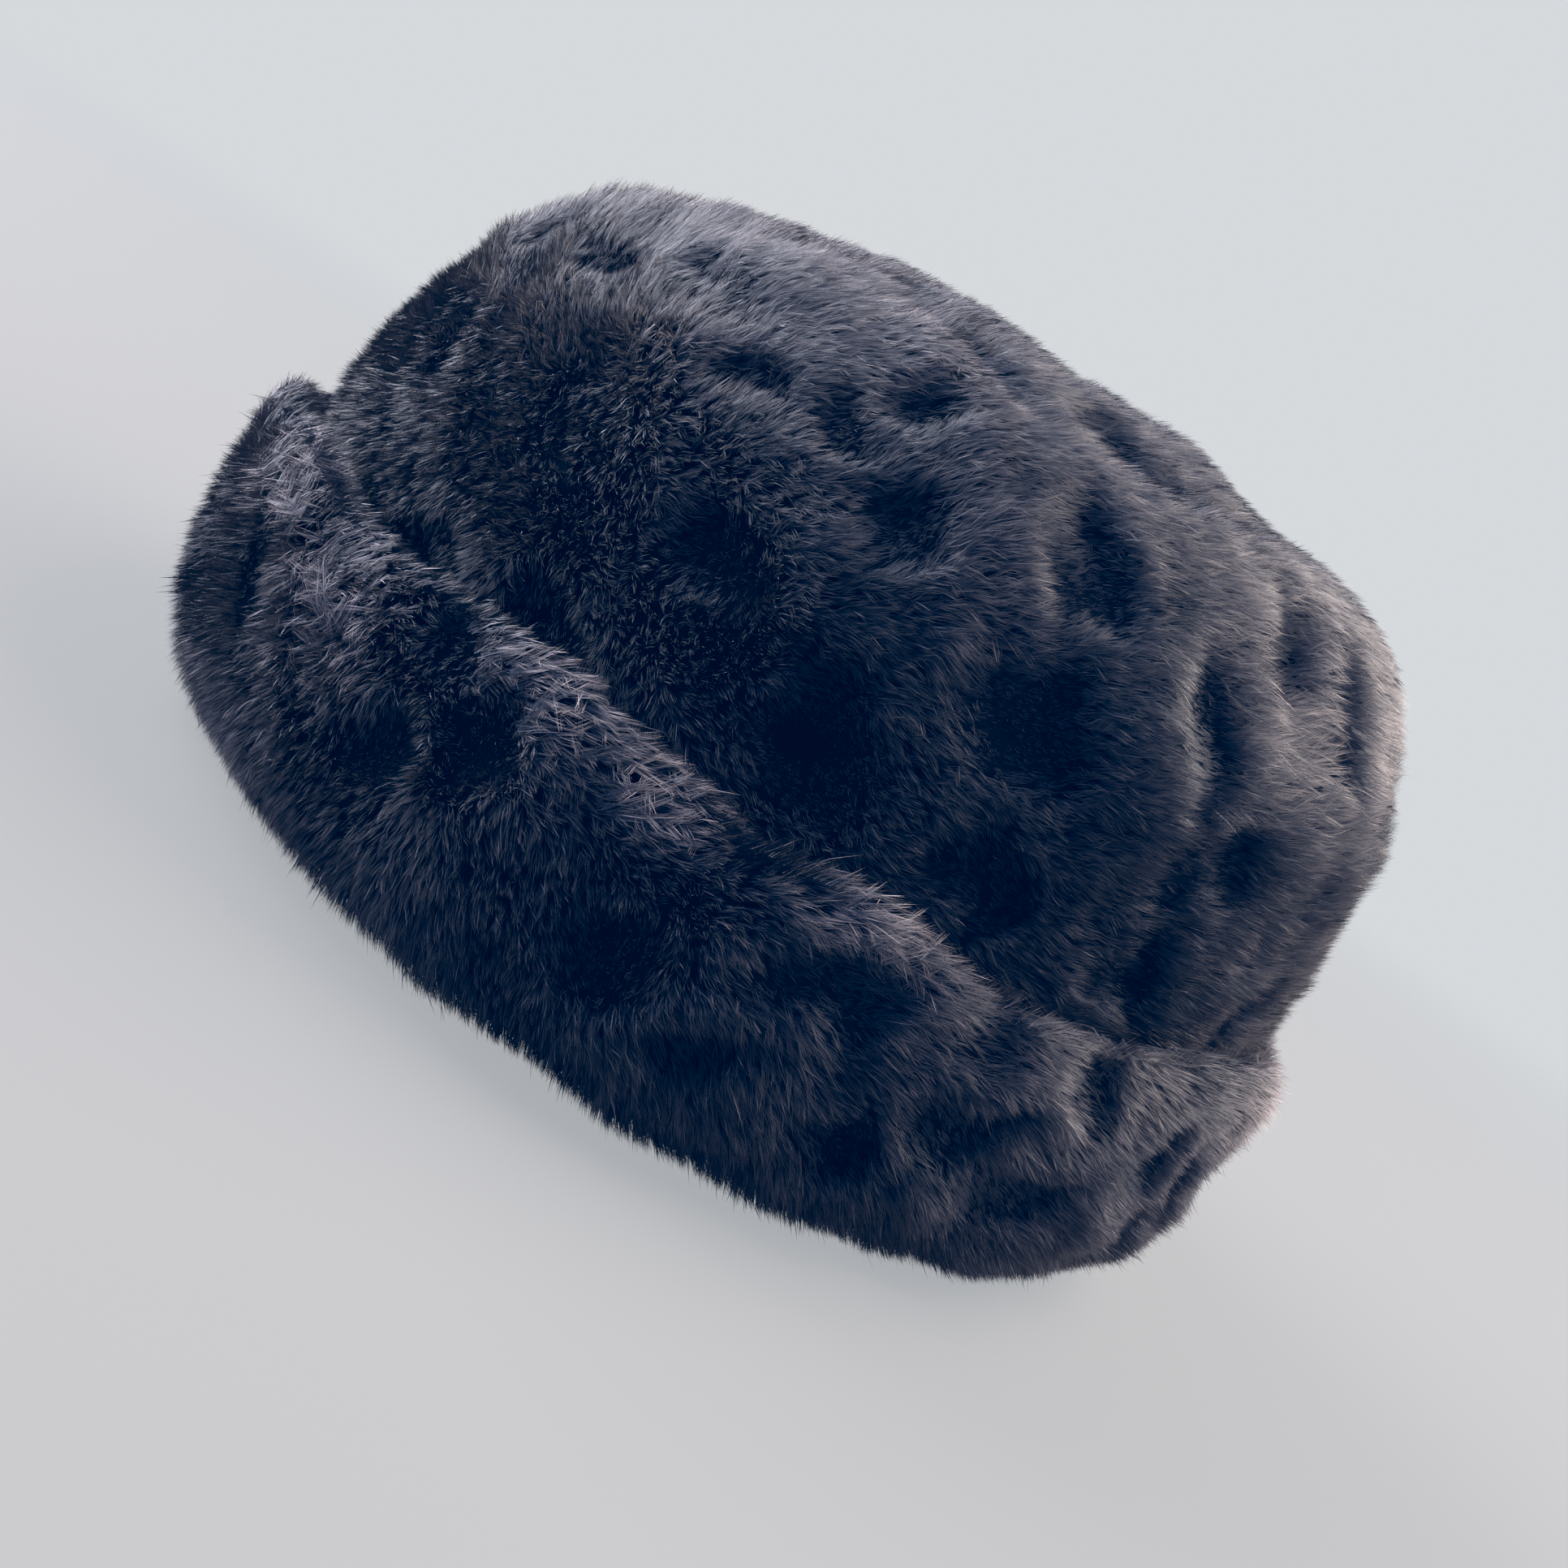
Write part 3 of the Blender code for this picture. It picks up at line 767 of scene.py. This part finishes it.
bump = add_node(knit, "ShaderNodeBump", inputs={
    "Height": loops.outputs["Value"], "Strength": 0.6, "Distance": 0.25 * MM})
# The tone follows the loops' height, darker in the grooves: painted shade.
level = add_node(knit, "ShaderNodeMapRange", inputs={
    "Value": loops.outputs["Value"], "From Min": -1 - COLUMNS_SHOW, "From Max": 1 + COLUMNS_SHOW})
colour = add_node(knit, "ShaderNodeMix", {"data_type": "RGBA"}, {
    "Factor": level.outputs["Result"], 6: linear("#151314"), 7: linear("#2b2728")})
link(colour.outputs[2], shader.inputs["Base Color"])
link(bump.outputs["Normal"], shader.inputs["Normal"])
print("materials", [m.name for m in (crown_pile, cuff_pile, underfur, knit)])

# %% [markdown]
# ## The backings
# The crown's backing is a round bag with two walls: the cloth that is seen from below and the
# underfur outside. It could be a dome with a Solidify modifier, but the wall isn't even, because
# the pile is thin in the hollows. So it starts as one long open tube. The tube's lower part is
# folded up inside and becomes the inner wall, its middle is the head hole's edge, and its upper
# part is the outside. Both end rings shrink to a point at the top, where their points are merged.


# %% A tube to fold
ROUND = 144  # columns of faces round both backings


def tube(name, rows):
    """An open tube one unit high, cut into rows, from a cylinder."""
    bpy.ops.object.select_all(action="DESELECT")
    bpy.ops.mesh.primitive_cylinder_add(vertices=ROUND, radius=1, depth=1, end_fill_type="NOTHING")
    made = bpy.context.object
    made.name = made.data.name = name
    bpy.ops.object.mode_set(mode="EDIT")
    bpy.ops.mesh.select_mode(type="EDGE")
    bpy.ops.mesh.select_all(action="DESELECT")
    bpy.ops.object.mode_set(mode="OBJECT")
    for edge in made.data.edges:
        a, b = (made.data.vertices[i].co for i in edge.vertices)
        edge.select = abs(a.z - b.z) > 0.5
    bpy.ops.object.mode_set(mode="EDIT")
    bpy.ops.mesh.subdivide(number_cuts=rows - 1)
    bpy.ops.object.mode_set(mode="OBJECT")
    return made


# %% Folding a tube
def fold(made, place, size_round):
    """Moves each point of a new tube by its angle and share of the height, and closes the seams."""
    mesh = made.data
    at = np.zeros(3 * len(mesh.vertices))
    mesh.vertices.foreach_get("co", at)
    at = at.reshape(-1, 3)
    angle = np.degrees(np.arctan2(at[:, 0], -at[:, 1])) % 360
    share = at[:, 2] + 0.5
    points, inner, length = place(angle, share)
    fill(mesh.vertices, "co", points * MM)
    layer = mesh.uv_layers.new(name="millimetres")
    corner = np.zeros(len(mesh.loops), np.int32)
    mesh.loops.foreach_get("vertex_index", corner)
    round_ = angle[corner] / 360
    for face in mesh.polygons:
        here = round_[face.loop_start:face.loop_start + face.loop_total]
        if here.max() - here.min() > 0.5:
            here[here < 0.5] += 1.0
        face.material_index = int(all(inner[i] for i in face.vertices))
        face.use_smooth = True
    fill(layer.data, "uv", np.stack([round_ * size_round, length[corner]], -1))
    bpy.ops.object.mode_set(mode="EDIT")
    bpy.ops.mesh.select_all(action="SELECT")
    bpy.ops.mesh.remove_doubles(threshold=0.00002)
    bpy.ops.object.mode_set(mode="OBJECT")
    made.data.materials.append(underfur)
    made.data.materials.append(knit)
    return made


# %% The crown's backing
UNDERFUR = 0.48  # share of the pile's height, from the tips down, where the underfur begins
INNER_SHARE = 0.27  # how much of the tube becomes the inner wall
BARE_TO, PILE_STARTS = 0.14, 0.06  # share of the way up without pile, and that it takes to start
BARE_UNDER = 0.4  # how far the bare cloth lies under the solid's surface
EDGE_SHARE = 0.02  # share of the way up that is flattened to the crown's foot
CROWN_WAY, CROWN_ROUND = 230.0, 760.0  # the crown's length from foot to middle, and round it


def crown_wall(angle, share):
    """Places on the crown's two walls, which are inner, and how far along the tube they lie."""
    inner = share < INNER_SHARE
    way_up = np.where(inner, 1 - share / INNER_SHARE, (share - INNER_SHARE) / (1 - INNER_SHARE))
    at, out, _, under, height = pile_at(crown_base, CROWN_PRESSED, CROWN_SWELLS, angle, way_up)
    shown = np.clip((way_up - BARE_TO) / PILE_STARTS, 0, 1)
    down = np.where(inner, WALL, (under + UNDERFUR * height) * shown + BARE_UNDER * (1 - shown))
    points = at - out * down[:, None]
    foot = np.clip(way_up / EDGE_SHARE, 0, 1)
    points[:, 2] = np.maximum(points[:, 2], CROWN_FOOT) * foot + CROWN_FOOT * (1 - foot)
    return points, share < INNER_SHARE + 0.004, way_up * CROWN_WAY


crown_backing = fold(tube("crown_backing", 74), crown_wall, CROWN_ROUND)
print("crown backing has", len(crown_backing.data.polygons), "faces")

# %% [markdown]
# The cuff's backing is a ring with a closed section, a tube whose last row meets the first. It
# stands on its fold, so its underside is flat. High up it leaves room for the hairs of the lip.


# %% The cuff's backing
OUTSIDE_TO, INSIDE_FROM, INSIDE_TO = 0.62, 0.66, 0.96  # the sides' shares of the section
FIRST_SHARE = 0.03  # share of the section that comes up from the underside
EDGE_UNDER = 3.0  # how far the backing stays under the cuff's top edge
UNDERSIDE = 1.6  # height of the backing's underside
CUFF_WAY, CUFF_ROUND = 200.0, 860.0  # the cuff's length round its section, and round the hat


def cuff_wall(angle, share):
    """Places round the cuff's section: outside and up, over the edge, and down the inner side."""
    outside = np.clip(share / OUTSIDE_TO, 0, 1)
    at, out, _, under, height = pile_at(cuff_base, CUFF_PRESSED, None, angle, outside)
    outer = at - out * (under + UNDERFUR * height)[:, None]
    down = np.clip((share - INSIDE_FROM) / (INSIDE_TO - INSIDE_FROM), 0, 1)
    top = cuff_height(angle)
    level = (top - 5.0) * (1 - down) + (CROWN_FOOT + 1.0) * down
    inner = cuff_inside(angle, level, 0.2 + 1.4 * np.clip((level - 30) / 25, 0, 1)[:, None])
    mixing = np.clip((share - OUTSIDE_TO) / (INSIDE_FROM - OUTSIDE_TO), 0, 1)[:, None]
    points = outer * (1 - mixing) + inner * mixing
    points[:, 2] = np.clip(points[:, 2], UNDERSIDE, top - EDGE_UNDER)
    start = cuff_base(angle, 0 * angle)
    flat = cuff_inside(angle, 0 * angle + CROWN_FOOT, 0.4)
    closing = np.clip((share - INSIDE_TO) / (1 - INSIDE_TO), 0, 1)[:, None]
    first = start * 0.5 + flat * 0.5
    first[:, 2] = UNDERSIDE
    points = points * (1 - closing) + first * closing
    opening = np.clip(1 - share / FIRST_SHARE, 0, 1)[:, None]
    points = points * (1 - opening) + first * opening
    return points, share > INSIDE_FROM, share * CUFF_WAY


cuff_backing = fold(tube("cuff_backing", 48), cuff_wall, CUFF_ROUND)
print("cuff backing has", len(cuff_backing.data.polygons), "faces")

# %% [markdown]
# ## Growing the hairs
# A third of the crown's tufts stand on its top and the others on its two sides. The cuff's are split
# into left and right. Each piece stays under 200,000 triangles. On the real hat the top looks darker,
# so its tones are painted lower there: a painted shade, because the light from above would make it
# look paler.


# %% The crown's pile
SPACING = 1.6  # from tuft to tuft
EACH = 9  # plain fibres in a tuft on the crown, and one fewer on the cuff
# From this share of the way up, over the next share, the top is painted up to this much darker: painted
# shade.
TOP_FROM, TOP_OVER, TOP_PAINTED_SHADE = 0.7, 0.15, 0.4


def crown_rise(pick):
    """The nap rises to the back; low on the sides it falls before the ears, is level behind them."""
    x, y, _ = pick["tips"].T
    fall = np.clip(np.abs(x) / 90.0, 0, 1) ** 2 * np.clip((0.62 - pick["share"]) / 0.3, 0, 1)
    return 0.5 + 0.1 * np.tanh(y / 50.0) - fall * (1.0 - 0.55 * np.tanh((y + 30.0) / 30.0))


def grown(tuft, pieces, each, guard, material):
    """Pieces of pile, each from the tufts that its mask picks."""
    made = []
    for name, mask, seed in pieces:
        some = {k: v[mask] for k, v in tuft.items()}
        guards = fibres(some, 1, seed + 10, guard)
        made.append(pile(name, fibres(some, each, seed, 0), guards, material))
    return made


# The pile stands more upright low on the sides and lies flatter towards the top.
crown_tufts = tufts(crown_grid, SPACING, 1, crown_rise, growing(0.65, 0.8, 0.35, 0.35))
# Painted shade: the tones are lowered on the top, where the light from above falls most.
crown_tufts["patch"] *= 1 - TOP_PAINTED_SHADE * np.clip((crown_tufts["share"] - TOP_FROM) / TOP_OVER, 0, 1)
order = np.argsort(np.argsort(crown_tufts["share"]))
on_top = order >= 2 * len(order) // 3
left = crown_tufts["at"][:, 0] > 0
pieces = (("crown_pile_top", on_top, 5), ("crown_pile_left", ~on_top & left, 6),
          ("crown_pile_right", ~on_top & ~left, 7))
crown_pieces = grown(crown_tufts, pieces, EACH, 1.15, crown_pile)
print("tufts on the crown", len(order), "or one in", round(SPACING ** 2, 1), "square mm")

# %% [markdown]
# The cuff's hairs grow on its outside and on its lip. Towards the top edge the wall bends over while
# its hairs still grow upwards, so the edge looks soft and uneven.


# %% The cuff's pile
def cuff_rise(pick):
    """Hairs fall steeply at the cuff's fold and only a little above it."""
    share = pick["share"]
    return np.where(share < 0.4, -1.2 + 2.3 * share, -0.28 - 0.2 * (share - 0.4))


# The nap lies flatter on the ridge than on the side, but the tufts there stand up.
outer_tufts = tufts(cuff_grid, SPACING, 2, cuff_rise, growing(0.6, 0.6, 0.7, 0.3),
                    growing(0.0, 1.2, 0.7, 0.25))
lip_tufts = tufts(lip_grid, SPACING, 3, growing(0.0), growing(1.0), growing(1.3))
cuff_tufts = joined(outer_tufts, lip_tufts)
left = cuff_tufts["at"][:, 0] > 0
pieces = (("cuff_pile_left", left, 8), ("cuff_pile_right", ~left, 9))
cuff_pieces = grown(cuff_tufts, pieces, EACH - 1, 1.4, cuff_pile)
print("tufts on the cuff", len(left), "of them on the lip", len(lip_tufts["at"]))

# %% [markdown]
# ## Fitting to the frame
# Every piece moves with the hat's one body, and the solid that it dresses is hidden.

# %% Riding on the body, and hiding the solids
for node, slot, made in (("crown", "crown_fur", [crown_backing, *crown_pieces]),
                         ("cuff", "cuff_fur", [cuff_backing, *cuff_pieces])):
    for piece in made:
        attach(piece, "root")
        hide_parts(node)
    print(node, "is replaced by", [piece.name for piece in made])

# %% [markdown]
# ## The studio
# The hat stands on a pale floor. It is matt paper, which scatters light evenly and shows only a soft
# shadow. The floor fades out into the pale surroundings before its edge, so no horizon shows from
# any side. To the camera it glows a little, so that it looks brighter than it lights the hat.

# %% Floor
BACKDROP = "#d6d9dc"
FADE_FROM, FADE_TO = 0.25, 1.6  # metres from the middle where the floor starts to fade, and is gone
GLOW = 0.6
bpy.ops.object.select_all(action="DESELECT")
bpy.ops.mesh.primitive_plane_add(size=6)
floor = bpy.context.object
floor.name = floor.data.name = "studio_floor"
paper, shader = new_material("matt_paper", 0.9, 0.1)
shader.inputs["Base Color"].default_value = linear("#595858")
place = add_node(paper, "ShaderNodeTexCoord")
far = add_node(paper, "ShaderNodeVectorMath", {"operation": "LENGTH"}, {0: place.outputs["Object"]})
fade = add_node(paper, "ShaderNodeMapRange", {"interpolation_type": "SMOOTHSTEP"},
                {"Value": far.outputs["Value"], "From Min": FADE_FROM, "From Max": FADE_TO})
clear = add_node(paper, "ShaderNodeBsdfTransparent")
glow = add_node(paper, "ShaderNodeEmission", inputs={"Color": linear(BACKDROP)})
eye = add_node(paper, "ShaderNodeLightPath")
glowing = add_node(paper, "ShaderNodeMath", {"operation": "MULTIPLY"},
                   {0: eye.outputs["Is Camera Ray"], 1: GLOW})
lit = add_node(paper, "ShaderNodeMixShader", inputs={
    0: glowing.outputs["Value"], 1: shader.outputs["BSDF"], 2: glow.outputs["Emission"]})
mix = add_node(paper, "ShaderNodeMixShader", inputs={
    0: fade.outputs["Result"], 1: lit.outputs["Shader"], 2: clear.outputs["BSDF"]})
link(mix.outputs["Shader"], paper.node_tree.nodes["Material Output"].inputs["Surface"])
floor.data.materials.append(paper)
print("floor is", round(floor.dimensions.x, 1), "m wide")

# %% [markdown]
# One wall of the room is pale and the dark rest is blue, so the shadows on the fur turn navy while
# its lights stay neutral. The camera sees an even backdrop instead. The view's black level stands
# for the faint blue veil of a lens: below zero it lifts a colour's shadows.

# %% Surroundings
world = bpy.data.worlds.new("pale_room")
bpy.context.scene.world = world
world.use_nodes = True
room = world.node_tree.nodes["Background"]
place = add_node(world, "ShaderNodeTexCoord")
WALL_AT = Vector((-0.20, 0.50, 0.80))  # behind the hat and high up
towards = add_node(world, "ShaderNodeVectorMath", {"operation": "DOT_PRODUCT"},
                   {0: place.outputs["Generated"], 1: WALL_AT.normalized()})
share = add_node(world, "ShaderNodeMapRange", {"interpolation_type": "SMOOTHSTEP"},
                 {"Value": towards.outputs["Value"], "From Min": 0.0, "From Max": 0.95})
colour = add_node(world, "ShaderNodeMix", {"data_type": "RGBA"}, {
    "Factor": share.outputs["Result"], 6: linear("#3a86d4"), 7: linear("#dcd6d2")})
link(colour.outputs[2], room.inputs["Color"])
room.inputs["Strength"].default_value = 1.28
seen = add_node(world, "ShaderNodeBackground", inputs={"Color": linear(BACKDROP), "Strength": 1.0})
eye = add_node(world, "ShaderNodeLightPath")
mix = add_node(world, "ShaderNodeMixShader", inputs={
    0: eye.outputs["Is Camera Ray"], 1: room.outputs["Background"], 2: seen.outputs["Background"]})
link(mix.outputs["Shader"], world.node_tree.nodes["World Output"].inputs["Surface"])
view = bpy.context.scene.view_settings
view.view_transform = "Standard"
view.use_curve_mapping = True
view.curve_mapping.black_level = (0.0050, -0.0022, -0.0175)
print("surroundings", world.name)

# %% [markdown]
# The camera looks at the wearer's left side, from a little behind and a little above, close enough
# for strong perspective, and it is rolled so that the hat leans to the right in the picture.

# %% Camera
AZIMUTH, ELEVATION, ROLL = 107.0, 11.0, 34.0
DISTANCE = 437.0 * MM
AIM = Vector((0.0, 9.5, 53.5)) * MM
FOCAL_PIXELS, FRAME_PIXELS = 2200.0, 1932.0


def looking(azimuth, elevation, roll=0.0):
    """Right, up and back directions of something that looks at the hat."""
    a, e, r = (math.radians(v) for v in (azimuth, elevation, roll))
    back = Vector((math.sin(a) * math.cos(e), -math.cos(a) * math.cos(e), math.sin(e)))
    right = Vector((0, 0, 1)).cross(back).normalized()
    up = back.cross(right)
    return right * math.cos(r) + up * math.sin(r), up * math.cos(r) - right * math.sin(r), back


def placed(right, up, back, at):
    """The matrix of something that stands at a place and looks against back."""
    turned = Matrix((right, up, back)).transposed().to_4x4()
    return Matrix.Translation(at) @ turned


camera = bpy.data.objects.new("camera", bpy.data.cameras.new("camera"))
bpy.context.scene.collection.objects.link(camera)
right, up, back = looking(AZIMUTH, ELEVATION, ROLL)
camera.matrix_world = placed(right, up, back, AIM + back * DISTANCE)
camera.data.lens = FOCAL_PIXELS / FRAME_PIXELS * camera.data.sensor_width
camera.data.clip_start, camera.data.clip_end = 0.01, 50.0
bpy.context.scene.camera = camera
print("camera is", round(camera.matrix_world.translation.z / MM), "mm above the floor")

# %% [markdown]
# Three large soft lights stand round the hat: a warm panel high up behind it, a window in front, and
# a faint pale wall beside that on the wearer's left. Area lights suit them best, because their size
# gives the soft edges that shadows have in a room.


# %% Lights
def soft_light(name, azimuth, elevation, distance, size, power, colour):
    """A square area light that looks at the hat, in metres and watts."""
    data = bpy.data.lights.new(name, "AREA")
    data.size, data.energy, data.color = size, power, linear(colour)[:3]
    lamp = bpy.data.objects.new(name, data)
    bpy.context.scene.collection.objects.link(lamp)
    r, u, b = looking(azimuth, elevation)
    lamp.matrix_world = placed(r, u, b, Vector((0, 0, 80.0)) * MM + b * distance)
    print(name, power, "W")


soft_light("panel_behind", 208.0, 52.0, 1.4, 1.2, 94.0, "#fff1e7")
soft_light("window_at_the_front", 2.0, 30.0, 1.4, 1.2, 98.0, "#e8e6ee")
soft_light("pale_wall_at_the_side", 28.0, 10.0, 1.4, 1.0, 20.0, "#eae8ee")
